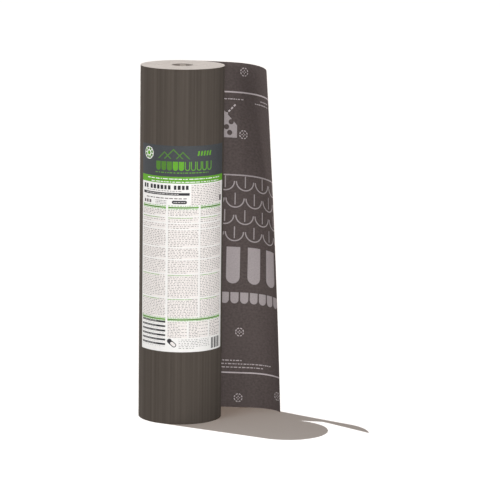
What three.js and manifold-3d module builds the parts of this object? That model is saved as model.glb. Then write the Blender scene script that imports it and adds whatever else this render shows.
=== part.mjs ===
// A roll of synthetic roofing felt, standing on end (millimetres, +Z up).
// One long sheet is wound tight on an open bore, and its last stretch stands loose behind the
// roll and curls round towards the front. A printed paper label is stuck to the roll's front.
// Plan angles are counted at the roll's axis from the front, -Y, towards +X.

import * as THREE from 'three';
import { mergeVertices } from 'three/addons/utils/BufferGeometryUtils.js';
import Module from 'manifold-3d';

const wasm = await Module();
wasm.setup();

// The sheet, before it is wound
const sheetWidth = 1067;
const sheetLength = 87200;
const sheetThickness = 0.53;

// The wound roll: its outside follows from how much sheet is wound on its bore
const boreRadius = 31.75;
const woundArea = sheetLength * sheetThickness;
const rollRadius = Math.sqrt(boreRadius ** 2 + woundArea / Math.PI);
const rollFacets = 64;

// Both ends show the turns: a groove stands wherever a slack turn lies a little low
const turnsPerGroove = 20;
const grooveWidth = 1.6;
const grooveDepth = 0.8;
const groovePitch = turnsPerGroove * sheetThickness;

// The loose end. It follows the roll past its rearmost line, runs straight, then curls forwards.
// foot is its edge on the floor and head its edge at the top, where it lets go and curls sooner,
// and where it sags a little towards its cut edge.
const looseLength = 329;
const looseFoot = { wrap: 13, straight: 210, curlRadius: 111 };
const looseHead = { wrap: 25.5, straight: 116.5, curlRadius: 136.5 };
const looseSag = 6.5;
const looseRoot = 8;
const looseColumns = 40;
const looseRows = 16;

// The label, measured along the roll's outside
const labelWidth = 305;
const labelHeight = 620;
const labelFoot = 221;
const labelOffset = 7.5;
const labelThickness = 0.35;
const labelClearance = 0.3;

const felt = new THREE.MeshStandardMaterial({ color: '#554e48', roughness: 0.75, metalness: 0 });
const paper = new THREE.MeshStandardMaterial({ color: '#dedad4', roughness: 0.6, metalness: 0 });

// Closed solid from a three.js geometry whose seams are still open
function solidFrom(geometry) {
  geometry.deleteAttribute('normal');
  geometry.deleteAttribute('uv');
  const joined = mergeVertices(geometry, 1e-4);
  return new wasm.Manifold(new wasm.Mesh({
    numProp: 3,
    vertProperties: new Float32Array(joined.attributes.position.array),
    triVerts: new Uint32Array(joined.index.array),
  }));
}

function geometryFrom(solid) {
  const { vertProperties, triVerts } = solid.getMesh();
  const geometry = new THREE.BufferGeometry();
  geometry.setAttribute('position', new THREE.BufferAttribute(vertProperties, 3));
  geometry.setIndex(new THREE.BufferAttribute(triVerts, 1));
  geometry.computeVertexNormals();
  return geometry;
}

// Radii of the grooves on an end, from the bore outwards, each with a flat land on both sides
function grooveRadii() {
  const radii = [];
  const last = rollRadius - groovePitch / 2;
  for (let radius = boreRadius + groovePitch; radius < last; radius += groovePitch) {
    radii.push(radius);
  }
  return radii;
}

// One end in profile, from the bore outwards. inwards is +1 at the foot and -1 at the head.
function endProfile(level, inwards) {
  const points = [new THREE.Vector2(boreRadius, level)];
  for (const radius of grooveRadii()) {
    points.push(new THREE.Vector2(radius - grooveWidth / 2, level));
    points.push(new THREE.Vector2(radius, level + inwards * grooveDepth));
    points.push(new THREE.Vector2(radius + grooveWidth / 2, level));
  }
  points.push(new THREE.Vector2(rollRadius, level));
  return points;
}

function woundRoll() {
  const profile = [...endProfile(0, 1), ...endProfile(sheetWidth, -1).reverse()];
  profile.push(profile[0].clone());
  const roll = new THREE.LatheGeometry(profile, rollFacets);
  roll.rotateX(Math.PI / 2);
  return roll;
}

// Where the loose end's middle line runs in plan, and which way it heads, at a distance along the
// sheet from the roll's rearmost line and a rise from 0 at its foot to 1 at its head.
// At first it lies just under the facets of the roll, as the turn that it continues.
function looseLine(distance, rise) {
  const { lerp } = THREE.MathUtils;
  const wrap = lerp(looseFoot.wrap, looseHead.wrap, rise);
  const straight = lerp(looseFoot.straight, looseHead.straight, rise);
  const curlRadius = lerp(looseFoot.curlRadius, looseHead.curlRadius, rise);
  const facetSag = rollRadius * (1 - Math.cos(Math.PI / rollFacets));
  const wrapRadius = rollRadius - 2 * facetSag - sheetThickness / 2;

  const turned = Math.min(distance, wrap) / rollRadius;
  const run = THREE.MathUtils.clamp(distance - wrap, 0, straight);
  const curled = Math.max(distance - wrap - straight, 0) / curlRadius;
  const heading = -turned - curled;
  const point = new THREE.Vector2(wrapRadius * Math.sin(turned), wrapRadius * Math.cos(turned));
  point.x += run * Math.cos(turned);
  point.y -= run * Math.sin(turned);
  point.x += curlRadius * (Math.sin(turned + curled) - Math.sin(turned));
  point.y += curlRadius * (Math.cos(turned + curled) - Math.cos(turned));
  return { point, heading };
}

// A point of the loose end, side +1 on its outer face and -1 on its inner one.
// Where the head stands away from over the foot, the sheet leans, so its top edge comes down.
function loosePoint(distance, rise, side) {
  const { point, heading } = looseLine(distance, rise);
  const lean = looseLine(distance, 1).point.distanceTo(looseLine(distance, 0).point);
  const sag = looseSag * (Math.max(distance, 0) / looseLength) ** 2;
  const height = Math.sqrt(sheetWidth ** 2 - lean ** 2) - sag;
  const offset = side * sheetThickness / 2;
  return new THREE.Vector3(
    point.x - offset * Math.sin(heading),
    point.y + offset * Math.cos(heading),
    rise * height,
  );
}

// The four edges of a grid of faces as one ring of vertex numbers, anticlockwise from its top left
function gridRim(columns, rows) {
  const across = columns + 1;
  const rim = [];
  for (let row = 0; row < rows; row += 1) rim.push(row * across);
  for (let column = 0; column < columns; column += 1) rim.push(rows * across + column);
  for (let row = rows; row > 0; row -= 1) rim.push(row * across + columns);
  for (let column = columns; column > 0; column -= 1) rim.push(column);
  return rim;
}

// The loose end: a flat grid of faces bent to its inner face, a second one to its outer face,
// and a wall between them all round the rim
function looseEnd() {
  const length = looseLength + looseRoot;
  const grid = new THREE.PlaneGeometry(length, 1, looseColumns, looseRows);
  const flat = grid.attributes.position;
  const inner = [];
  const outer = [];
  for (let i = 0; i < flat.count; i += 1) {
    const distance = flat.getX(i) + length / 2 - looseRoot;
    const rise = flat.getY(i) + 0.5;
    inner.push(...loosePoint(distance, rise, -1));
    outer.push(...loosePoint(distance, rise, 1));
  }

  const front = Array.from(grid.index.array);
  const back = front.map((vertex) => vertex + flat.count).reverse();
  const rim = gridRim(looseColumns, looseRows);
  const wall = rim.flatMap((vertex, i) => {
    const next = rim[(i + 1) % rim.length];
    return [next, vertex, vertex + flat.count, next, vertex + flat.count, next + flat.count];
  });

  const sheet = new THREE.BufferGeometry();
  sheet.setAttribute('position', new THREE.Float32BufferAttribute([...inner, ...outer], 3));
  sheet.setIndex([...front, ...back, ...wall]);
  return sheet;
}

// The whole sheet, wound and loose, is one piece
function feltRoll() {
  const sheet = solidFrom(woundRoll()).add(solidFrom(looseEnd()));
  const mesh = new THREE.Mesh(geometryFrom(sheet), felt);
  mesh.name = 'felt_roll';
  return mesh;
}

// A sheet of paper bent round the roll's front, drawn in plan and extruded to its height
function label() {
  const innerRadius = rollRadius + labelClearance;
  const outerRadius = innerRadius + labelThickness;
  const front = -Math.PI / 2;
  const start = front + (labelOffset - labelWidth / 2) / rollRadius;
  const end = front + (labelOffset + labelWidth / 2) / rollRadius;
  const facets = rollFacets * (end - start) / (2 * Math.PI);

  const plan = new THREE.Shape();
  plan.absarc(0, 0, outerRadius, start, end, false);
  plan.absarc(0, 0, innerRadius, end, start, true);
  const paperSheet = new THREE.ExtrudeGeometry(plan, {
    depth: labelHeight,
    bevelEnabled: false,
    curveSegments: Math.ceil(facets / 2),
  });
  const mesh = new THREE.Mesh(paperSheet, paper);
  mesh.name = 'label';
  mesh.position.z = labelFoot;
  return mesh;
}

// The origin is at the middle of the bounding box, on the floor
function standing(...pieces) {
  const roll = new THREE.Group();
  roll.add(...pieces);
  const middle = new THREE.Box3().setFromObject(roll).getCenter(new THREE.Vector3());
  roll.position.set(-middle.x, -middle.y, 0);
  const part = new THREE.Group();
  part.add(roll);
  return part;
}

export default standing(feltRoll(), label());
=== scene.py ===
import math
import random

import bmesh
import bpy
import numpy as np
from bpy.props import FloatProperty, FloatVectorProperty, IntProperty, PointerProperty
from mathutils import Matrix, Vector
from mathutils.geometry import delaunay_2d_cdt


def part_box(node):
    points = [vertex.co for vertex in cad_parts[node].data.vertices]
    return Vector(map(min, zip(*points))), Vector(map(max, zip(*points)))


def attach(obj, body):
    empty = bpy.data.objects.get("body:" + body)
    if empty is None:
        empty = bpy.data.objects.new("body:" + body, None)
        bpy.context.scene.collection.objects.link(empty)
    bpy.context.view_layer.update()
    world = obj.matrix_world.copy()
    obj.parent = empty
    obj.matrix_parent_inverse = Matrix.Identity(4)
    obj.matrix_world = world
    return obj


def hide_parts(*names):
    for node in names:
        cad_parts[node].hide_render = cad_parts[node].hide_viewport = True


bl_info = {
    "name": "Roofing Felt Roll",
    "version": (1, 0, 0),
    "blender": (4, 5, 0),
    "location": "3D View > Sidebar > Felt Roll",
    "description": "Makes a standing roll of roofing felt with a loose end and a paper label",
    "category": "Add Mesh",
}

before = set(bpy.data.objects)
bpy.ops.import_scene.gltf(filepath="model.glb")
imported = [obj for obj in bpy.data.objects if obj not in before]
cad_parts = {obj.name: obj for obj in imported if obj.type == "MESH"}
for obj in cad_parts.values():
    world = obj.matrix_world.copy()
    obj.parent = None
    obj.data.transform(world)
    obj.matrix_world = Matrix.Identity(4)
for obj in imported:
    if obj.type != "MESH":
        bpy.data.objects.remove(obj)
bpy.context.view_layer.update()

# The roll's height, radius and axis, and the label's levels, come from the frame, in metres.
# The loose end makes the roll's box longer in x alone, so the radius is read in y.
LOW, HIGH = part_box("felt_roll")
HEIGHT = HIGH.z - LOW.z
RADIUS = (HIGH.y - LOW.y) / 2
AXIS = Vector((LOW.x + RADIUS, LOW.y + RADIUS, LOW.z))
LABEL_LOW, LABEL_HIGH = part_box("label")

MM = 0.001
TURN = 2 * math.pi


def linear(code):
    """An sRGB hex colour as Blender's linear red, green and blue"""
    parts = [int(code[i : i + 2], 16) / 255 for i in (1, 3, 5)]
    return tuple(c / 12.92 if c <= 0.04045 else ((c + 0.055) / 1.055) ** 2.4 for c in parts)


def length(name, description, millimetres):
    """A length property, with its default in millimetres"""
    return FloatProperty(
        name=name, description=description, default=millimetres * MM, unit="LENGTH", precision=5
    )


def colour(name, description, code):
    """A colour property, with its default as an sRGB hex code"""
    return FloatVectorProperty(
        name=name, description=description, default=linear(code), size=3,
        subtype="COLOR", min=0, max=1,
    )


# ---------------- sizes and colours


class RollSizes(bpy.types.PropertyGroup):
    """Sizes of the sheet of felt and of the roll it is wound into"""

    thickness: length("Sheet thickness", "Thickness of one wound turn", 0.53)
    bore: length("Bore radius", "Radius of the hole through the roll", 31.75)
    gap: length("Gap between turns", "Dark line that parts one turn's edge from the next", 0.07)
    edge_depth: length("Edge depth", "How deep the turns are modelled below the roll's ends", 3)
    telescoping: length("Telescoping", "How far a slack turn's edge lies below the end", 0.15)
    turn_points: IntProperty(
        name="Points per turn", description="Corners in one turn of the wound ends", default=72
    )
    columns: IntProperty(
        name="Columns", description="Faces round the outermost turn", default=180
    )


class LooseEndSizes(bpy.types.PropertyGroup):
    """The loose end: it follows the roll, runs straight, then curls forwards"""

    reach: length("Length", "From the roll's rearmost line to the cut edge", 329)
    foot_wrap: length("Wrap at the foot", "How far the foot follows the roll", 13)
    foot_straight: length("Straight run at the foot", "Straight stretch of the foot", 210)
    foot_curl: length("Curl radius at the foot", "Radius that the foot curls to", 111)
    head_wrap: length("Wrap at the head", "How far the head follows the roll", 25.5)
    head_straight: length("Straight run at the head", "Straight stretch of the head", 116.5)
    head_curl: length("Curl radius at the head", "Radius that the head curls to", 136.5)
    sag: length("Sag", "How far the head hangs at the cut edge", 6.5)
    skew: length("Skew of the cut", "How far the cut edge is out of square", 12)
    columns: IntProperty(name="Columns", description="Faces along the loose end", default=64)
    rows: IntProperty(name="Rows", description="Faces up the loose end", default=26)


class LabelSizes(bpy.types.PropertyGroup):
    """The paper label stuck round the front of the roll"""

    width: length("Width", "Measured round the roll", 305)
    offset: length("Offset", "From the roll's front to the label's middle, round the roll", 7.5)
    thickness: length("Thickness", "Thickness of the paper", 0.12)
    gap: length("Glue line", "Between the felt and the paper", 0.04)
    columns: IntProperty(name="Columns", description="Faces round the label", default=70)


class FeltColours(bpy.types.PropertyGroup):
    """Colours of the felt and of the ink on its inner face"""

    outer: colour("Outer face", "Coated outer face of the felt", "#504943")
    # The inner face is painted paler than the outer one, to make up for the shade that the loose
    # end stands in.
    inner: colour("Inner face", "Printed inner face of the felt", "#5e5452")
    edge: colour("Cut edge", "Pale core that shows where the felt is cut", "#b4aca6")
    ink: colour("Ink", "Pale ink on the inner face", "#beb4b5")
    tape: colour("Starting tape", "Tape that held the sheet's inner edge for winding", "#d8cec5")


class LabelColours(bpy.types.PropertyGroup):
    """Colours of the label and of its inks"""

    paper: colour("Paper", "White paper", "#efedea")
    tint: colour("Tint", "Pale tint behind the fine print", "#ebe5e1")
    slate: colour("Slate", "Header ink", "#3b3e41")
    green: colour("Green", "Band, rule and shingle ink", "#5f9f28")
    leaf: colour("Dark green", "Gable ink", "#4b7a28")
    black: colour("Black", "Heavy print", "#29282b")
    grey: colour("Grey", "Fine print", "#605859")


class StageSettings(bpy.types.PropertyGroup):
    """The floor, the lights and the camera"""

    floor: colour("Floor", "Pale floor", "#e0e0e0")
    lens: FloatProperty(
        name="Lens", description="Focal length of the camera", default=206.85, unit="CAMERA"
    )
    distance: length("Camera distance", "From the roll's axis, along the floor", 8497)
    eye: length("Camera height", "Above the floor", 2031)


GROUPS = {
    "felt_roll": RollSizes,
    "loose_end": LooseEndSizes,
    "roll_label": LabelSizes,
    "felt_colours": FeltColours,
    "label_colours": LabelColours,
    "stage_settings": StageSettings,
}


def wound_turns():
    """Middle radii of the first and the last wound turn, and the number of turns between"""
    roll = bpy.context.scene.felt_roll
    first = roll.bore + roll.thickness / 2
    last = RADIUS - 1.5 * roll.thickness
    return first, last, (last - first) / roll.thickness


# ---------------- node trees and materials


def add(tree, kind, inputs=None, **settings):
    """Add a node to a tree, with its settings, and its inputs set or linked

    A node that is given for an input stands for its first output.
    """
    made = tree.nodes.new(kind)
    for name, value in settings.items():
        setattr(made, name, value)
    for name, value in (inputs or {}).items():
        if isinstance(value, bpy.types.Node):
            value = value.outputs[0]
        if isinstance(value, bpy.types.NodeSocket):
            tree.links.new(value, made.inputs[name])
        else:
            made.inputs[name].default_value = value
    return made


def empty_tree(owner):
    """The node tree of a material or a world, with nothing in it"""
    owner.use_nodes = True
    owner.node_tree.nodes.clear()
    return owner.node_tree


def new_material(name):
    """A material with an empty node tree, and that tree"""
    material = bpy.data.materials.new(name)
    return material, empty_tree(material)


def finish_material(material, base, roughness, specular=0.5, relief=None, depth=0.0):
    """Put a Principled shader on a material, with a relief whose full range is the depth"""
    tree = material.node_tree
    look = {"Base Color": base, "Roughness": roughness, "Specular IOR Level": specular}
    if relief is not None:
        look["Normal"] = add(tree, "ShaderNodeBump", {"Height": relief, "Distance": depth})
    shader = add(tree, "ShaderNodeBsdfPrincipled", look)
    add(tree, "ShaderNodeOutputMaterial", {"Surface": shader})
    return material


def rgba(shade, factor=1.0):
    """A colour with full alpha, made darker or paler by a factor"""
    return (*(min(1.0, c * factor) for c in shade), 1.0)


def blend_colour(tree, value, low, high, first, second):
    """A colour that runs from the first to the second while a value goes from low to high"""
    share = add(tree, "ShaderNodeMapRange", {"Value": value, "From Min": low, "From Max": high})
    mix = add(tree, "ShaderNodeMix", {0: share, 6: first, 7: second}, data_type="RGBA")
    return mix.outputs[2]


def sheet_noise(tree, across, along, detail):
    """Noise on the sheet's own map, with one feature per given length across and up the sheet"""
    place = add(tree, "ShaderNodeUVMap", uv_map="Sheet")
    scaled = add(
        tree, "ShaderNodeMapping", {"Vector": place, "Scale": (1 / across, 1 / along, 1)}
    )
    return add(
        tree, "ShaderNodeTexNoise", {"Vector": scaled, "Scale": 1.0, "Detail": detail},
        noise_dimensions="2D",
    )


def weave(tree, pitch):
    """Height of a plain weave of flat tapes, one tape to each pitch both ways"""
    place = add(tree, "ShaderNodeUVMap", uv_map="Sheet")
    # At a scale of 1, the wave texture has 20 bands in a length of TURN.
    across, along = (
        add(
            tree, "ShaderNodeTexWave",
            {"Vector": place, "Scale": TURN / pitch / 20, "Distortion": 0.0},
            wave_type="BANDS", bands_direction=bands,
        ).outputs["Fac"]
        for bands in ("X", "Y")
    )
    return add(tree, "ShaderNodeMath", {0: across, 1: along}, operation="MULTIPLY")


def outer_felt():
    """Coated woven polypropylene, outer face

    The coating was drawn along the roll's height, which leaves soft streaks up the face in two
    widths, and the tapes of the weave show faintly through it.
    """
    shade = bpy.context.scene.felt_colours.outer
    material, tree = new_material("Coated woven polypropylene, drawn outer face")
    broad = sheet_noise(tree, 20 * MM, 2600 * MM, detail=1.0)
    narrow = sheet_noise(tree, 7 * MM, 1300 * MM, detail=2.0)
    mottle = sheet_noise(tree, 90 * MM, 120 * MM, detail=3.0)
    both = add(tree, "ShaderNodeMath", {0: broad, 1: narrow}, operation="ADD")
    streaks = add(tree, "ShaderNodeMapRange", {"Value": both, "From Min": 0.7, "From Max": 1.3})
    base = blend_colour(tree, streaks, 0, 1, rgba(shade, 0.82), rgba(shade, 1.17))
    base = blend_colour(tree, mottle, 0.3, 1.6, base, rgba(shade, 1.03))
    height = add(
        tree, "ShaderNodeMath", {0: streaks, 1: weave(tree, 2.5 * MM)}, operation="ADD"
    )
    return finish_material(
        material, base, roughness=0.75, specular=0.06, relief=height, depth=0.06 * MM
    )


def inner_felt():
    """Coated woven polypropylene, inner face

    Laminated to a fine fleece, so it is fuller and a little redder than the outer face, with a
    close speckle of fibres. It is also painted paler than the outer face, to make up for the
    shade that the loose end stands in. The speckle is drawn coarser than the fibres, so that it
    shows.
    """
    shade = bpy.context.scene.felt_colours.inner
    material, tree = new_material("Coated woven polypropylene, fleece inner face")
    speckle = sheet_noise(tree, 8 * MM, 6 * MM, detail=5.0)
    cloud = sheet_noise(tree, 60 * MM, 140 * MM, detail=2.0)
    base = blend_colour(tree, speckle, 0.32, 0.68, rgba(shade, 0.83), rgba(shade, 1.18))
    base = blend_colour(tree, cloud, 0.2, 1.4, base, rgba(shade, 1.15))
    return finish_material(
        material, base, roughness=0.8, specular=0.25, relief=speckle, depth=0.12 * MM
    )


def felt_ink(name, weight):
    """Pale ink, roller printed on the fleece, which it covers unevenly between the fibres"""
    shade = bpy.context.scene.felt_colours.ink
    material, tree = new_material(name)
    cover = sheet_noise(tree, 5 * MM, 4 * MM, detail=4.0)
    base = blend_colour(tree, cover, 0.3, 0.62, rgba(shade, 0.86 * weight), rgba(shade, weight))
    return finish_material(material, base, roughness=0.7, specular=0.3)


def felt_edge():
    """Cut polypropylene edge: the pale core of the sheet, roughened by the knife

    The knife's marks are drawn coarser than they are, so that they show.
    """
    shade = bpy.context.scene.felt_colours.edge
    material, tree = new_material("Polypropylene felt, knife-cut edge")
    place = add(tree, "ShaderNodeTexCoord")
    centred = add(
        tree, "ShaderNodeMapping",
        {"Vector": place.outputs["Object"], "Location": (-AXIS.x, -AXIS.y, 0)},
    )
    fine = add(
        tree, "ShaderNodeTexNoise", {"Vector": centred, "Scale": 1 / (1.5 * MM), "Detail": 3.0}
    )
    # Bands of turns were cut with a fresher or a duller knife, so they are paler or greyer.
    flat = add(tree, "ShaderNodeVectorMath", {0: centred, 1: (1, 1, 0)}, operation="MULTIPLY")
    radius = add(tree, "ShaderNodeVectorMath", {0: flat}, operation="LENGTH")
    bands = add(
        tree, "ShaderNodeTexNoise",
        {"W": radius.outputs["Value"], "Scale": 1 / (5 * MM), "Detail": 4.0},
        noise_dimensions="1D",
    )
    tone = add(tree, "ShaderNodeMath", {0: bands, 1: fine}, operation="ADD")
    base = blend_colour(tree, tone, 0.7, 1.3, rgba(shade, 0.91), rgba(shade, 1.07))
    return finish_material(
        material, base, roughness=0.85, specular=0.25, relief=fine, depth=0.1 * MM
    )


def starting_tape():
    """Crepe paper tape at the bore: it held the sheet's inner edge while the roll was wound

    It goes once round the bore. A paler strip runs down the far side, which faces the front: a
    painted highlight where light would catch that wall. Its creases are drawn coarser than they
    are, so that they show.
    """
    shade = bpy.context.scene.felt_colours.tape
    material, tree = new_material("Crepe paper tape, glued")
    creases = sheet_noise(tree, 3 * MM, 40 * MM, detail=3.0)
    base = blend_colour(tree, creases, 0.3, 0.7, rgba(shade, 0.72), rgba(shade, 0.936))
    _, _, turns = wound_turns()
    far_side = turns % 1 * TURN * bpy.context.scene.felt_roll.bore
    half_highlight, fade = 9 * MM, 0.5 * MM
    place = add(tree, "ShaderNodeUVMap", uv_map="Sheet")
    across = add(tree, "ShaderNodeSeparateXYZ", {0: place})
    aside = add(tree, "ShaderNodeMath", {0: across, 1: far_side}, operation="SUBTRACT")
    away = add(tree, "ShaderNodeMath", {0: aside}, operation="ABSOLUTE")
    # Painted highlight: a paler strip down the far wall of the bore, which faces the front,
    # where light would catch it.
    base = blend_colour(
        tree, away, half_highlight + fade, half_highlight - fade, base, rgba(shade, 1.5)
    )
    return finish_material(material, base, roughness=0.85, relief=creases, depth=0.15 * MM)


def label_paper():
    """Coated paper, calendered: nearly white and smooth, with a soft sheen

    The cloudiness of its fibres is drawn coarser than it is, so that it shows.
    """
    shade = bpy.context.scene.label_colours.paper
    material, tree = new_material("Coated paper, calendered")
    fibres = sheet_noise(tree, 14 * MM, 22 * MM, detail=4.0)
    base = blend_colour(tree, fibres, 0.3, 0.7, rgba(shade, 0.97), rgba(shade))
    return finish_material(material, base, roughness=0.6, specular=0.3)


def label_ink(name, shade):
    """Offset printing ink on coated paper: an even film, mottled a little by the fibres below

    The mottle too is drawn coarser than it is.
    """
    material, tree = new_material(name)
    mottle = sheet_noise(tree, 5 * MM, 5 * MM, detail=4.0)
    base = blend_colour(tree, mottle, 0.3, 0.7, rgba(shade, 0.93), rgba(shade, 1.05))
    return finish_material(material, base, roughness=0.65, specular=0.3)


# ---------------- flat artwork, in millimetres


def bar(left, low, right, high):
    """An upright oblong"""
    return [(left, low), (right, low), (right, high), (left, high)]


def arc(x, y, radius, start, end, steps):
    """Points on an arc, with its angles in degrees"""
    turns = [math.radians(start + (end - start) * i / steps) for i in range(steps + 1)]
    return [(x + radius * math.cos(a), y + radius * math.sin(a)) for a in turns]


def disc(x, y, radius, steps=24):
    """A filled circle"""
    return arc(x, y, radius, 0, 360, steps)[:-1]


def arc_band(x, y, inner, outer, start, end, steps):
    """A stretch of ring"""
    return arc(x, y, outer, start, end, steps) + arc(x, y, inner, end, start, steps)


def round_foot_tab(left, low, right, high, steps=10):
    """A shingle tab with a half-round foot"""
    radius = (right - left) / 2
    foot = arc(left + radius, low + radius, radius, 180, 360, steps)
    return [*foot, (right, high), (left, high)]


def pill(left, low, right, high):
    """A bar with half-round ends"""
    radius = (high - low) / 2
    middle = low + radius
    return [
        *arc(right - radius, middle, radius, -90, 90, 8),
        *arc(left + radius, middle, radius, 90, 270, 8),
    ]


def gable(x, low, half_width, rise, line):
    """Outline of a gable roof as one bent stroke"""
    slanted = line * 1.4
    return [
        (x + half_width, low), (x, low + rise), (x - half_width, low),
        (x - half_width + slanted, low), (x, low + rise - slanted),
        (x + half_width - slanted, low),
    ]


def text_line(rng, left, right, low, height, longest, gap=None):
    """A line of unreadable print: one bar for each word"""
    gap = gap or 1.1 * height
    words = []
    start = left
    while start < right - height:
        end = min(start + rng.uniform(0.25, 1) * longest, right)
        words.append(bar(start, low, end, low + height))
        start = end + gap * rng.uniform(0.7, 1.5)
    return words


def inked(loops, ink):
    """Loops with the ink that fills them"""
    return [(loop, ink) for loop in loops]


def turned_loop(loop, x, y, degrees):
    """A loop turned about its origin, which is put at a place"""
    cos, sin = math.cos(math.radians(degrees)), math.sin(math.radians(degrees))
    return [(x + px * cos - py * sin, y + px * sin + py * cos) for px, py in loop]


def nail_mark(x, y):
    """Where a nail goes: a broken ring round a small cross of four dashes"""
    ring = [arc_band(x, y, 10.6, 13.6, a, a + 29, 4) for a in range(8, 360, 45)]
    dash = bar(2.6, -1.3, 6.4, 1.3)
    return ring + [turned_loop(dash, x, y, turn) for turn in range(0, 360, 90)]


# ---------------- printed sheets


def cut_pattern(outline, folds, artwork):
    """Triangles of a flat sheet, cut along every printed edge and every fold line

    The sheet can bend at its fold lines only. Gives the corners, the triangles and the ink of
    each triangle. Ink 0 is the bare sheet, and a later shape prints over an earlier one.
    """
    points = [Vector(p) for p in outline]
    faces = [list(range(len(points)))]
    inks = [0]
    for loop, ink in artwork:
        faces.append(list(range(len(points), len(points) + len(loop))))
        points.extend(Vector(p) for p in loop)
        inks.append(ink)
    lines = [(len(points) + 2 * i, len(points) + 2 * i + 1) for i in range(len(folds))]
    points.extend(Vector(p) for line in folds for p in line)
    # Only what lies inside a face is kept, and corners nearer than the join become one.
    inside, join, give_origins = 1, 1e-3 * MM, True
    corners, _, triangles, _, _, origins = delaunay_2d_cdt(
        points, lines, faces, inside, join, give_origins
    )
    kept = [i for i, found in enumerate(origins) if 0 in found]
    ink_of = [inks[max(origins[i])] for i in kept]
    used, places = np.unique([triangles[i] for i in kept], return_inverse=True)
    return np.array(corners)[used], places.reshape(-1, 3), np.array(ink_of)


def rim_edges(triangles):
    """Edges that only one triangle has, in that triangle's direction, and those triangles"""
    edges = np.concatenate([triangles[:, [0, 1]], triangles[:, [1, 2]], triangles[:, [2, 0]]])
    key = np.sort(edges, axis=1)
    _, first, count = np.unique(key, axis=0, return_index=True, return_counts=True)
    rim = first[count == 1]
    return edges[rim], rim % len(triangles)


def facing(bend, corners):
    """Outward normals of the printed face"""
    step = 0.5 * MM
    distance, height = corners.T
    along = bend(distance + step, height, 0.0) - bend(distance - step, height, 0.0)
    upward = bend(distance, height + step, 0.0) - bend(distance, height - step, 0.0)
    normal = np.cross(along, upward)
    return normal / np.linalg.norm(normal, axis=1, keepdims=True)


# Material slots of a printed sheet: 0 is its bare face, and its inks come after its edge.
BACK, EDGE = 1, 2


def printed_sheet(name, bend, thickness, pattern, materials, inked_edge=False):
    """A thin closed sheet, printed on the face that bend puts at depth 0

    bend(distance, height, depth) gives points of the bent sheet. The materials are those of the
    bare printed face, the back, the cut edge and then the inks. A sheet that was cut through
    its print may show the ink on its edge too.
    """
    corners, triangles, inks = pattern
    count = len(corners)
    front = bend(*corners.T, 0.0)
    back = bend(*corners.T, thickness)
    rim, beside = rim_edges(triangles)
    walls = np.stack([rim[:, 1], rim[:, 0], rim[:, 0] + count, rim[:, 1] + count], axis=1)
    faces = [*triangles.tolist(), *(triangles[:, ::-1] + count).tolist(), *walls.tolist()]

    mesh = bpy.data.meshes.new(name)
    mesh.from_pydata(np.concatenate([front, back]).tolist(), [], faces)
    for material in materials:
        mesh.materials.append(material)
    printed = np.where(inks > 0, inks + EDGE, 0)
    edge = np.full(len(walls), EDGE)
    if inked_edge:
        edge = np.maximum(edge, printed[beside])
    slots = np.concatenate([printed, np.full(len(triangles), BACK), edge])
    mesh.polygons.foreach_set("material_index", slots.astype(np.int32))
    mesh.polygons.foreach_set("use_smooth", np.ones(len(faces), bool))

    corner_of = np.concatenate([np.ravel(f) for f in (triangles, triangles[:, ::-1], walls)])
    places = mesh.uv_layers.new(name="Sheet")
    places.data.foreach_set("uv", corners[corner_of % count].astype(np.float32).ravel())

    normal = facing(bend, corners)
    wall_normal = np.zeros((len(walls), 3))
    for i, polygon in enumerate(mesh.polygons[2 * len(triangles):]):
        wall_normal[i] = polygon.normal
    loops = np.concatenate([
        normal[triangles.ravel()],
        -normal[triangles[:, ::-1].ravel()],
        np.repeat(wall_normal, 4, axis=0),
    ])
    mesh.normals_split_custom_set(loops.tolist())
    mesh.validate()
    return new_piece(name, mesh)


def new_piece(name, mesh):
    """An object at the origin, with its place in its mesh"""
    piece = bpy.data.objects.new(name, mesh)
    bpy.context.scene.collection.objects.link(piece)
    return piece


def hand_over(piece, node):
    """Give the finished piece its place in the frame"""
    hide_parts(node)
    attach(piece, "root")


# ---------------- the felt


def sheet_line(distance, rise):
    """Plan place, and the direction across the sheet, of the sheet's outer face

    distance runs along the sheet from the roll's rearmost line, and rise goes from 0 at the foot
    to 1 at the head. Before that line the sheet is the roll's last turn, which starts one
    thickness nearer to the axis.
    """
    roll = bpy.context.scene.felt_roll
    loose = bpy.context.scene.loose_end
    wrap = loose.foot_wrap + (loose.head_wrap - loose.foot_wrap) * rise
    straight = loose.foot_straight + (loose.head_straight - loose.foot_straight) * rise
    curl = loose.foot_curl + (loose.head_curl - loose.foot_curl) * rise
    turned = np.minimum(distance, wrap) / RADIUS
    run = np.clip(distance - wrap, 0, straight)
    bent = turned + np.maximum(distance - wrap - straight, 0) / curl
    radius = RADIUS + roll.thickness * np.minimum(turned, 0) / TURN
    x = radius * np.sin(turned) + run * np.cos(turned) + curl * (np.sin(bent) - np.sin(turned))
    y = radius * np.cos(turned) - run * np.sin(turned) + curl * (np.cos(bent) - np.cos(turned))
    return np.stack([x, y], axis=-1), np.stack([np.sin(bent), np.cos(bent)], axis=-1)


def bend_felt(distance, height, depth):
    """Points of the sheet, at a depth below its inner face towards its outer one

    Where the head stands away from over the foot, the sheet leans and its top edge comes down,
    and it sags a little towards its cut edge.
    """
    roll = bpy.context.scene.felt_roll
    loose = bpy.context.scene.loose_end
    rise = height / HEIGHT
    place, across = sheet_line(distance, rise)
    foot, _ = sheet_line(distance, 0 * rise)
    head, _ = sheet_line(distance, 0 * rise + 1)
    lean = np.linalg.norm(head - foot, axis=-1)
    sag = loose.sag * (np.maximum(distance, 0) / loose.reach) ** 2
    tall = np.sqrt(HEIGHT ** 2 - lean ** 2) - sag
    plan = place - across * (roll.thickness - depth)
    return np.column_stack([plan + (AXIS.x, AXIS.y), rise * tall + AXIS.z])


# Inks are numbered from 1, in the order of their materials.
PALE, HEAVY = 1, 2


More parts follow.
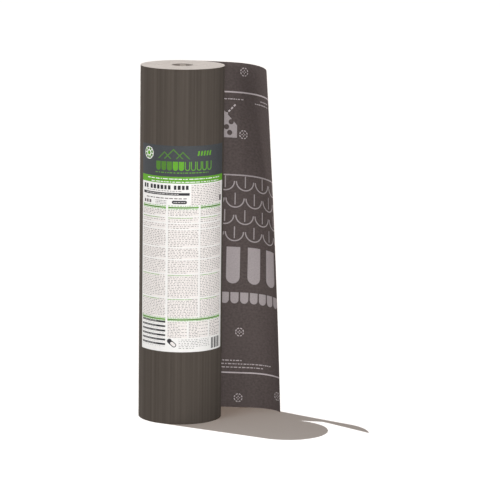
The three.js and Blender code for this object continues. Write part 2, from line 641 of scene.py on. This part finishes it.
def felt_artwork():
    """What is printed on the inner face of the loose end, in millimetres

    x runs along the sheet from the roll's rearmost line and y up from its foot edge. Each
    entry is a loop and its ink, 0 for the bare sheet.
    """
    rng = random.Random(11)
    # Whole lines start just behind the roll and run past the skewed cut, which trims them.
    start, reach = -8, bpy.context.scene.loose_end.reach / MM + 20
    laps = [bar(start, low, reach, low + 4.2) for low in (107, HEIGHT / MM - 92.3)]
    nail_rows = (30, 237, 849, 1040)
    nails = [(51, y) for y in nail_rows] + [(320, 47)] + [(185.5, y) for y in nail_rows]
    lines = []
    for x, y in nails:
        lines += nail_mark(x, y)
    for left, right, low in (
        (20, 104, 954), (123, 184, 954), (252, 300, 957), (226, 300, 946.5),
        (20, 200, 146), (20, 290, 135.2), (20, 262, 124.4),
    ):
        lines += text_line(rng, left, right, low, 2.8, 12, gap=2.8)
    # Four slanting dashes climb beside the gable end.
    for step in range(4):
        lines.append(turned_loop(bar(0, 0, 7.5, 5), 131 + step * 8, 906 + step * 8.6, 47))

    # Courses of round-footed shingles hang from a line in outline, and stand solid below.
    shapes = []
    pitch = 62
    for course in range(4):
        y = 705 - course * 52
        shift = pitch / 2 * (course % 2)
        for tab in range(6):
            x = 8 + shift + tab * pitch
            shapes.append(arc_band(x, y, pitch / 2 - 4.8, pitch / 2 - 1.2, 180, 360, 20))
            shapes.append(bar(x - 1.6, y - 20, x + 1.6, y + 16))
    shapes.append(bar(start, 722, reach, 726))
    shapes += [round_foot_tab(8 + tab * 66, 388, 50 + tab * 66, 502) for tab in range(5)]
    shapes += [round_foot_tab(5 + tab * 30, 326, 30 + tab * 30, 361) for tab in range(11)]
    # The gable end has three bare discs in it.
    shapes.append([(80, 838), (164.5, 838), (164.5, 876), (124, 920), (80, 876)])
    bare = [disc(x, y, 8) for x, y in ((146, 886), (132, 870), (142, 853))]
    return inked(laps + lines, HEAVY) + inked(shapes, PALE) + inked(bare, 0)


def to_sheet(loop, skew):
    """A printed loop in metres on the sheet, whose cut edge is out of square with the print"""
    return [((x + skew * (y / (HEIGHT / MM) - 0.5)) * MM, y * MM) for x, y in loop]


def felt_pattern():
    """The flat sheet from the start of its last turn, tucked a little under, to its cut edge"""
    roll = bpy.context.scene.felt_roll
    loose = bpy.context.scene.loose_end
    tuck = 30 * MM
    start = -TURN * RADIUS - tuck
    wound = np.linspace(start, 0, roll.columns + 1)
    free = np.linspace(0, loose.reach, loose.columns + 1)
    levels = np.linspace(0, HEIGHT, loose.rows + 1)
    across = [*wound[:-1], *free]
    outline = [(x, 0.0) for x in across]
    outline += [(loose.reach, y) for y in levels[1:]]
    outline += [(x, HEIGHT) for x in across[-2::-1]]
    folds = [((x, 0), (x, HEIGHT)) for x in across[1:-1]]
    folds += [((0, y), (loose.reach, y)) for y in levels[1:-1]]
    artwork = [(to_sheet(loop, loose.skew / MM), ink) for loop, ink in felt_artwork()]
    return cut_pattern(outline, folds, artwork)


class OBJECT_OT_felt_sheet(bpy.types.Operator):
    """Make the outermost turn of felt and its printed loose end"""

    bl_idname = "object.felt_sheet"
    bl_label = "Last Turn and Loose End"

    def execute(self, context):
        materials = [
            inner_felt(), outer_felt(), felt_edge(),
            felt_ink("Pale ink, roller printed on fleece", 1.0),
            felt_ink("Pale ink, pooled in printed lines", 1.35),
        ]
        thickness = context.scene.felt_roll.thickness
        sheet = printed_sheet("felt_sheet", bend_felt, thickness, felt_pattern(), materials)
        hand_over(sheet, "felt_roll")
        return {"FINISHED"}


def wound_turns_tree():
    """Geometry nodes for the wound end: the sheet's edge as one spiral from the bore outwards"""
    tree = bpy.data.node_groups.new("Wound turns", "GeometryNodeTree")
    sockets = tree.interface
    sockets.new_socket(name="Geometry", in_out="OUTPUT", socket_type="NodeSocketGeometry")
    for name, kind in (
        ("Points per Turn", "Int"), ("Turns", "Float"), ("First Radius", "Float"),
        ("Last Radius", "Float"), ("Edge Width", "Float"), ("Edge Depth", "Float"),
        ("Inwards", "Float"), ("Telescoping", "Float"), ("Middle", "Vector"),
        ("Last Angle", "Float"), ("Seed", "Float"), ("Material", "Material"),
    ):
        sockets.new_socket(name=name, in_out="INPUT", socket_type=f"NodeSocket{kind}")
    given = add(tree, "NodeGroupInput").outputs

    spiral = add(
        tree, "GeometryNodeCurveSpiral",
        {
            "Resolution": given["Points per Turn"], "Rotations": given["Turns"],
            "Start Radius": given["First Radius"], "End Radius": given["Last Radius"],
            "Height": 0.0, "Reverse": False,
        },
    )
    # A turn lies low where the roll was wound slack: in whole bands, and a little by itself.
    place = add(tree, "GeometryNodeInputPosition")
    radius = add(tree, "ShaderNodeVectorMath", {0: place}, operation="LENGTH")
    band = add(
        tree, "ShaderNodeTexNoise",
        {"W": radius.outputs["Value"], "Scale": 1 / (6 * MM), "Detail": 2.0},
        noise_dimensions="1D",
    )
    travelled = add(tree, "GeometryNodeSplineParameter").outputs["Length"]
    seeded = add(tree, "ShaderNodeMath", {0: travelled, 1: given["Seed"]}, operation="ADD")
    drift = add(
        tree, "ShaderNodeTexNoise", {"W": seeded, "Scale": 1 / (240 * MM), "Detail": 1.0},
        noise_dimensions="1D",
    )
    slack = add(tree, "ShaderNodeMath", {0: band, 1: drift}, operation="MULTIPLY")
    scaled = add(
        tree, "ShaderNodeMath", {0: slack, 1: given["Telescoping"]}, operation="MULTIPLY"
    )
    depth = add(
        tree, "ShaderNodeMath", {0: given["Edge Depth"], 1: 0.5, 2: scaled},
        operation="MULTIPLY_ADD",
    )
    inwards = add(tree, "ShaderNodeMath", {0: depth, 1: given["Inwards"]}, operation="MULTIPLY")
    offset = add(tree, "ShaderNodeCombineXYZ", {"Z": inwards})
    lowered = add(tree, "GeometryNodeSetPosition", {"Geometry": spiral, "Offset": offset})
    edge = add(
        tree, "GeometryNodeCurvePrimitiveQuadrilateral",
        {"Width": given["Edge Width"], "Height": given["Edge Depth"]},
    )
    upright = add(tree, "GeometryNodeSetCurveNormal", {"Curve": lowered}, mode="Z_UP")
    ribbon = add(
        tree, "GeometryNodeCurveToMesh",
        {"Curve": upright, "Profile Curve": edge, "Fill Caps": True},
    )
    turned = add(tree, "ShaderNodeCombineXYZ", {"Z": given["Last Angle"]})
    placed = add(
        tree, "GeometryNodeTransform",
        {"Geometry": ribbon, "Translation": given["Middle"], "Rotation": turned},
    )
    flat = add(tree, "GeometryNodeSetShadeSmooth", {"Geometry": placed, "Shade Smooth": False})
    real = add(tree, "GeometryNodeRealizeInstances", {"Geometry": flat})
    finished = add(
        tree, "GeometryNodeSetMaterial", {"Geometry": real, "Material": given["Material"]}
    )
    add(tree, "NodeGroupOutput", {"Geometry": finished})
    return tree


def from_nodes(name, tree, settings):
    """A plain mesh piece made by a tree of geometry nodes"""
    piece = new_piece(name, bpy.data.meshes.new(name))
    modifier = piece.modifiers.new("Nodes", "NODES")
    modifier.node_group = tree
    for item in tree.interface.items_tree:
        if item.in_out == "INPUT":
            modifier[item.identifier] = settings[item.name]
    depsgraph = bpy.context.evaluated_depsgraph_get()
    mesh = bpy.data.meshes.new_from_object(piece.evaluated_get(depsgraph))
    mesh.name = name
    piece.modifiers.remove(modifier)
    piece.data = mesh
    return piece


class OBJECT_OT_wound_ends(bpy.types.Operator):
    """Make the wound turns that show on both ends of the roll"""

    bl_idname = "object.wound_ends"
    bl_label = "Wound Ends"

    def execute(self, context):
        roll = context.scene.felt_roll
        first, last, turns = wound_turns()
        tree = wound_turns_tree()
        edge = felt_edge()
        for name, level, inwards, seed in (
            ("wound_end_head", HEIGHT, -1.0, 3.0),
            ("wound_end_foot", 0.0, 1.0, 47.0),
        ):
            piece = from_nodes(name, tree, {
                "Points per Turn": roll.turn_points, "Turns": turns,
                "First Radius": first, "Last Radius": last,
                "Edge Width": roll.thickness - roll.gap, "Edge Depth": roll.edge_depth,
                "Inwards": inwards, "Telescoping": roll.telescoping,
                "Middle": AXIS + Vector((0, 0, level)),
                "Last Angle": math.pi / 2 + TURN * turns,
                "Seed": seed, "Material": edge,
            })
            hand_over(piece, "felt_roll")
        return {"FINISHED"}


class OBJECT_OT_wound_body(bpy.types.Operator):
    """Make the body of the roll with its bore, which starts at the sheet's inner edge"""

    bl_idname = "object.wound_body"
    bl_label = "Wound Body and Bore"

    def execute(self, context):
        roll = context.scene.felt_roll
        _, _, turns = wound_turns()
        steps = 2 * roll.turn_points
        # Its ends lie inside the wound ends, and its walls under the turns next to them.
        inset = 0.8 * roll.edge_depth
        foot, head = inset, HEIGHT - inset
        outer = RADIUS - 2 * roll.thickness
        rings = []
        for i in range(steps + 1):
            turned = TURN * (i / steps - turns)
            inner = roll.bore + roll.thickness * i / steps
            aim = Vector((math.sin(turned), math.cos(turned), 0))
            for radius, level in ((inner, foot), (outer, foot), (outer, head), (inner, head)):
                rings.append(AXIS + aim * radius + Vector((0, 0, level)))
        faces = []
        for i in range(steps):
            for side in range(4):
                a, b = 4 * i + side, 4 * i + (side + 1) % 4
                faces.append((a, b, b + 4, a + 4))
        faces.append((0, 3, 2, 1))
        faces.append(tuple(4 * steps + side for side in range(4)))
        mesh = bpy.data.meshes.new("wound_body")
        mesh.from_pydata(rings, [], faces)
        model = bmesh.new()
        model.from_mesh(mesh)
        bmesh.ops.recalc_face_normals(model, faces=model.faces)
        places = model.loops.layers.uv.new("Sheet")
        for face in model.faces:
            face.smooth = True
            for loop in face.loops:
                step, side = divmod(loop.vert.index, 4)
                loop[places].uv = (TURN * step / steps * roll.bore, loop.vert.co.z)
        sharp = math.radians(30)
        for edge in model.edges:
            edge.smooth = len(edge.link_faces) == 2 and edge.calc_face_angle() < sharp
        model.to_mesh(mesh)
        model.free()
        mesh.materials.append(starting_tape())
        piece = new_piece("wound_body", mesh)
        hand_over(piece, "felt_roll")
        return {"FINISHED"}


# ---------------- the label


def bend_label(distance, height, depth):
    """Points of the label, at a depth below its printed face

    It follows the last turn of felt, whose radius is half a sheet less in front than behind.
    """
    roll = bpy.context.scene.felt_roll
    label = bpy.context.scene.roll_label
    angle = (label.offset - label.width / 2 + distance) / RADIUS
    felt = RADIUS - roll.thickness * (0.5 + angle / TURN)
    radius = felt + label.gap + label.thickness - depth
    return np.column_stack([
        AXIS.x + radius * np.sin(angle),
        AXIS.y - radius * np.cos(angle),
        LABEL_LOW.z + height,
    ])


SLATE, GREEN, LEAF, BLACK, GREY, WHITE, TINT = 1, 2, 3, 4, 5, 6, 7


def header_artwork(rng, width, tall):
    """Slate header with a plain badge, gables, a course of shingles and a green band"""
    bleed, band_low, band_high = 5, 508, 528
    shapes = [(bar(-bleed, band_high, width + bleed, tall + bleed), SLATE)]
    shapes.append((bar(-bleed, band_low, width + bleed, band_high), GREEN))
    for left, right, low in ((30, 284, 519.8), (46, 276, 510.8)):
        shapes += inked(text_line(rng, left, right, low, 2.6, 16), WHITE)

    badge = (34, 594)
    ring = [arc_band(*badge, 9.5, 16.8, a, a + 35, 3) for a in range(0, 360, 45)]
    shapes += [(disc(*badge, 19, 32), WHITE), *inked(ring, LEAF), (disc(*badge, 7, 6), GREEN)]
    shapes += inked(text_line(rng, 62, 230, 538.5, 2.4, 12), GREEN)
    first_green, first_open, foot, head = 118, 154, 546, 573
    for left in range(64, 244, 18):
        ink = LEAF if left < first_green else GREEN
        shapes.append((round_foot_tab(left, foot, left + 15.5, head, 8), ink))
        if left >= first_open:
            shapes.append((round_foot_tab(left + 2.6, 548.6, left + 12.9, head, 8), SLATE))
    for x, size in ((92, 22), (120, 30), (148, 22)):
        shapes.append((gable(x, 581, size, size, 3), LEAF))
    for x in range(192, 240, 10):
        shapes.append(([(x, 590), (x + 5.6, 590), (x + 8.6, 604), (x + 3, 604)], GREEN))
    return shapes


def notice_artwork(rng):
    """The white field under the band: plain blocks for a heading, and rows of small print"""
    shapes = []
    start, gap, wide_gap = 11.5, 3.7, 6.5
    for blocks in (2, 6, 4):
        for _ in range(blocks):
            wide = rng.uniform(7.2, 9.4)
            shapes.append((bar(start, 489.5, start + wide, 502), BLACK))
            start += wide + gap
        start += wide_gap
    shapes.append((bar(9, 472.2, 169, 480), BLACK))
    shapes += inked(text_line(rng, 22, 136, 475.4, 1.3, 12), WHITE)
    shapes += inked(text_line(rng, 28, 144, 484, 1.7, 10), GREY)
    shapes += inked(text_line(rng, 24, 160, 461.5, 2.6, 14), GREY)
    shapes += inked([bar(x, 446, x + 8, 455) for x in (13, 25, 37)], GREY)
    for y in (445.5, 450, 454.5):
        shapes += inked(text_line(rng, 62, 100, y, 1.6, 8), GREY)
    shapes.append((pill(116, 447, 161, 457), BLACK))
    shapes += inked(text_line(rng, 121, 156, 451.2, 1.4, 8), WHITE)
    return shapes


def fine_print(rng, left, right, low, high, paragraph=99):
    """A block of small print: even lines of unreadable words, the last of a paragraph short

    The lines stand 5 mm apart, wider than real small print, which would blur to a grey field.
    """
    rise, pitch = 1.45, 5
    spare = high - low - rise
    lines = max(1, round(spare / pitch))
    words = []
    for line in range(lines + 1):
        short = line % paragraph == 0
        end = left + (right - left) * rng.uniform(0.4, 0.8) if short else right
        words += text_line(rng, left, end, low + spare * line / lines, rise, 8, gap=3.4)
    return inked(words, GREY)


def table_artwork(rng):
    """Three columns of small print between two green rules, and the foot of the label"""
    shapes = []
    levels = (430.5, 408.7, 389, 370.5, 316, 280, 236, 163.5, 103)
    headed = (408.7, 236, 163.5)
    for left, right in ((6, 98), (105, 197.5), (204, 293)):
        shapes.append((bar(left, 433.6, right, 438), GREEN))
        shapes += inked(text_line(rng, left + 3, right - 14, 434.8, 1.5, 9), BLACK)
        for y in (440, 430.4):
            shapes += inked(text_line(rng, left, right, y, 1.8, 9), GREEN)
        for high, low in zip(levels, levels[1:]):
            shapes.append((bar(left, low + 1.8, right, high - 1.8), TINT))
            shapes += fine_print(rng, left, right, low + 3.2, high - 3.2)
            if high in headed:
                shapes += inked(text_line(rng, left, right - 20, high - 5, 1.8, 14), GREEN)
    for left, right in ((4, 98.5), (105, 293)):
        shapes.append((bar(left, 96.4, right, 100.8), GREEN))
        shapes += inked(text_line(rng, left + 3, right - 30, 97.6, 1.5, 9), BLACK)
        for y in (102.4, 94):
            shapes += inked(text_line(rng, left, right, y, 1.6, 9), GREEN)
    shapes.append((bar(173, 443, 293, 504.5), TINT))
    shapes += fine_print(rng, 175, 291, 445, 503)
    shapes.append((bar(283, 449, 295, 466), GREY))

    for row in range(6):
        y = 88 - row * 13.6
        shapes.append((bar(6, y, 98.5, y + 5.4), BLACK))
        shapes += inked(text_line(rng, 10, 70, y + 2.2, 0.8, 9, gap=3), WHITE)
        shapes += inked(text_line(rng, 8, 96, y - 4.2, 0.7, 8, gap=3), GREY)
    for left, right in ((106, 164), (170, 234), (240, 290)):
        shapes.append((bar(left, 43, right, 92), TINT))
        shapes += fine_print(rng, left, right, 45, 90, 2)
    shapes += fine_print(rng, 140, 240, 11, 38)
    # A disc, a slanting pill and a block of upright bars stand at the foot.
    shapes.append((disc(112, 33, 7.5, 16), BLACK))
    shapes.append((turned_loop(pill(-13, -7, 13, 7), 121, 25, -38), BLACK))
    shapes.append((turned_loop(pill(-7, -4.6, 10.6, 4.6), 121, 25, -38), TINT))
    start = 248
    while start < 292:
        wide = rng.uniform(2.4, 7)
        shapes.append((bar(start, 5, start + wide, 38), BLACK))
        start += wide + rng.uniform(1.6, 4.4)
    return shapes


def label_pattern():
    """The flat label, cut along its print"""
    label = bpy.context.scene.roll_label
    tall = LABEL_HIGH.z - LABEL_LOW.z
    across = np.linspace(0, label.width, label.columns + 1)
    outline = [(x, 0.0) for x in across] + [(x, tall) for x in across[::-1]]
    folds = [((x, 0), (x, tall)) for x in across[1:-1]]
    rng = random.Random(5)
    artwork = [
        *header_artwork(rng, label.width / MM, tall / MM),
        *notice_artwork(rng),
        *table_artwork(rng),
    ]
    artwork = [([(x * MM, y * MM) for x, y in loop], ink) for loop, ink in artwork]
    return cut_pattern(outline, folds, artwork)


class OBJECT_OT_roll_label(bpy.types.Operator):
    """Make the printed paper label round the front of the roll"""

    bl_idname = "object.roll_label"
    bl_label = "Paper Label"

    def execute(self, context):
        shades = context.scene.label_colours
        # The face, the back and the cut edge are all bare paper.
        materials = [label_paper()] * 3
        for name, shade in (
            ("Slate offset ink", shades.slate), ("Green offset ink", shades.green),
            ("Dark green offset ink", shades.leaf), ("Black offset ink", shades.black),
            ("Grey offset ink", shades.grey), ("White offset ink", shades.paper),
            ("Pale screen tint", shades.tint),
        ):
            materials.append(label_ink(f"{name} on coated paper", shade))
        thickness = context.scene.roll_label.thickness
        piece = printed_sheet(
            "paper_label", bend_label, thickness, label_pattern(), materials, inked_edge=True
        )
        hand_over(piece, "label")
        return {"FINISHED"}


# ---------------- the stage


def seen_by_camera(tree):
    """1 for rays from the camera, also when the object mirrors or passes them, 0 for the rest"""
    path = add(tree, "ShaderNodeLightPath")
    seen = path.outputs["Is Camera Ray"]
    for other in ("Is Glossy Ray", "Is Transmission Ray"):
        seen = add(
            tree, "ShaderNodeMath", {0: seen, 1: path.outputs[other]}, operation="MAXIMUM"
        )
    return seen


def stage_floor():
    """A wide pale floor: it looks nearly white, and throws back less light than it shows"""
    shade = bpy.context.scene.stage_settings.floor
    half_width, thrown_back, glow_strength = 60.0, 0.61, 0.062
    mesh = bpy.data.meshes.new("floor")
    corners = [(x, y, 0) for x, y in bar(-half_width, -half_width, half_width, half_width)]
    mesh.from_pydata(corners, [], [(0, 1, 2, 3)])
    floor = new_piece("floor", mesh)
    material, tree = new_material("Painted studio floor")
    paint = add(tree, "ShaderNodeBsdfDiffuse", {"Color": rgba(shade)})
    # A faint warm glow fills the shadow. It stops under the roll, so the bore stays dark.
    place = add(tree, "ShaderNodeTexCoord")
    away = add(
        tree, "ShaderNodeVectorMath", {0: place.outputs["Object"], 1: AXIS}, operation="DISTANCE"
    )
    outside = add(
        tree, "ShaderNodeMapRange",
        {"Value": away.outputs["Value"], "From Min": 0.9 * RADIUS, "From Max": RADIUS},
    )
    glow = add(tree, "ShaderNodeMath", {0: outside, 1: glow_strength}, operation="MULTIPLY")
    lift = add(tree, "ShaderNodeEmission", {"Color": (1, 0.4, 0.0, 1), "Strength": glow})
    lifted = add(tree, "ShaderNodeAddShader", {0: paint, 1: lift})
    bounce = add(tree, "ShaderNodeBsdfDiffuse", {"Color": rgba(shade, thrown_back)})
    surface = add(
        tree, "ShaderNodeMixShader", {0: seen_by_camera(tree), 1: bounce, 2: lifted}
    )
    add(tree, "ShaderNodeOutputMaterial", {"Surface": surface})
    mesh.materials.append(material)


def stage_world():
    """Even pale surroundings, which the camera sees as white"""
    world = bpy.data.worlds.new("Studio")
    bpy.context.scene.world = world
    tree = empty_tree(world)
    around = add(tree, "ShaderNodeBackground", {"Color": (1, 1, 1, 1), "Strength": 0.15})
    white = add(tree, "ShaderNodeBackground", {"Color": (1, 1, 1, 1), "Strength": 1.0})
    surface = add(
        tree, "ShaderNodeMixShader", {0: seen_by_camera(tree), 1: around, 2: white}
    )
    add(tree, "ShaderNodeOutputWorld", {"Surface": surface})


def aimed(name, data, place, target, roll=0.0):
    """An object at a place, looking at a target and rolled by an angle"""
    thing = bpy.data.objects.new(name, data)
    bpy.context.scene.collection.objects.link(thing)
    turn = (Vector(target) - Vector(place)).to_track_quat("-Z", "Y").to_matrix().to_4x4()
    thing.matrix_world = Matrix.Translation(place) @ turn @ Matrix.Rotation(roll, 4, "Z")
    return thing


def stage_lights():
    """A high lamp behind the roll throws its shadow forwards, and soft boxes light its front

    A box's azimuth is in degrees to the right of the roll's front.
    """
    lamp = bpy.data.lights.new("high_lamp", "SUN")
    lamp.energy = 4.0
    lamp.angle = math.radians(0.15)
    to_lamp = Vector((-0.3166, 0.1825, 1.067))
    aimed("high_lamp", lamp, AXIS + to_lamp * 4, AXIS)
    away = 4.5
    for name, azimuth, level, size, power in (
        ("left_box", -40, 1.8, 2.0, 57),
        ("front_box", 5, 0.9, 1.6, 33),
        ("right_box", 30, 0.9, 1.6, 79),
    ):
        box = bpy.data.lights.new(name, "AREA")
        box.shape = "SQUARE"
        box.size = size
        box.energy = power
        turn = math.radians(azimuth)
        place = AXIS + Vector((math.sin(turn) * away, -math.cos(turn) * away, level))
        soft = aimed(name, box, place, AXIS + Vector((0, 0, HEIGHT / 2)))
        soft.visible_camera = False


def stage_camera():
    """The camera stands well back, a little above eye height, and looks down at the roll"""
    stage = bpy.context.scene.stage_settings
    data = bpy.data.cameras.new("camera")
    data.lens = stage.lens
    data.sensor_width = 36.0
    data.clip_end = 200.0
    yaw, pitch, roll = math.radians(1.3948), math.radians(10.1458), math.radians(0.7468)
    aim = Vector((
        math.sin(yaw) * math.cos(pitch), math.cos(yaw) * math.cos(pitch), -math.sin(pitch),
    ))
    place = AXIS + Vector((0, -stage.distance, stage.eye))
    bpy.context.scene.camera = aimed("camera", data, place, place + aim, roll)


class OBJECT_OT_studio_stage(bpy.types.Operator):
    """Make the floor, the surroundings, the lights and the camera"""

    bl_idname = "object.studio_stage"
    bl_label = "Studio Stage"

    def execute(self, context):
        stage_floor()
        stage_world()
        stage_lights()
        stage_camera()
        context.scene.view_settings.view_transform = "Standard"
        return {"FINISHED"}


class VIEW3D_PT_felt_roll(bpy.types.Panel):
    """Sizes, colours and pieces of the roll"""

    bl_label = "Felt Roll"
    bl_idname = "VIEW3D_PT_felt_roll"
    bl_space_type = "VIEW_3D"
    bl_region_type = "UI"
    bl_category = "Felt Roll"

    def draw(self, context):
        for name, group in GROUPS.items():
            box = self.layout.box()
            box.label(text=group.__doc__)
            for prop in group.__annotations__:
                box.prop(getattr(context.scene, name), prop)
        for operator in OPERATORS:
            self.layout.operator(operator.bl_idname)


OPERATORS = (
    OBJECT_OT_studio_stage,
    OBJECT_OT_felt_sheet,
    OBJECT_OT_wound_ends,
    OBJECT_OT_wound_body,
    OBJECT_OT_roll_label,
)
CLASSES = (*GROUPS.values(), *OPERATORS, VIEW3D_PT_felt_roll)


def register():
    for kind in CLASSES:
        bpy.utils.register_class(kind)
    for name, group in GROUPS.items():
        setattr(bpy.types.Scene, name, PointerProperty(type=group))


def unregister():
    for name in GROUPS:
        delattr(bpy.types.Scene, name)
    for kind in reversed(CLASSES):
        bpy.utils.unregister_class(kind)


def main():
    """Make the stage and every piece"""
    register()
    bpy.ops.object.studio_stage()
    bpy.ops.object.felt_sheet()
    bpy.ops.object.wound_ends()
    bpy.ops.object.wound_body()
    bpy.ops.object.roll_label()


if __name__ == "__main__":
    main()
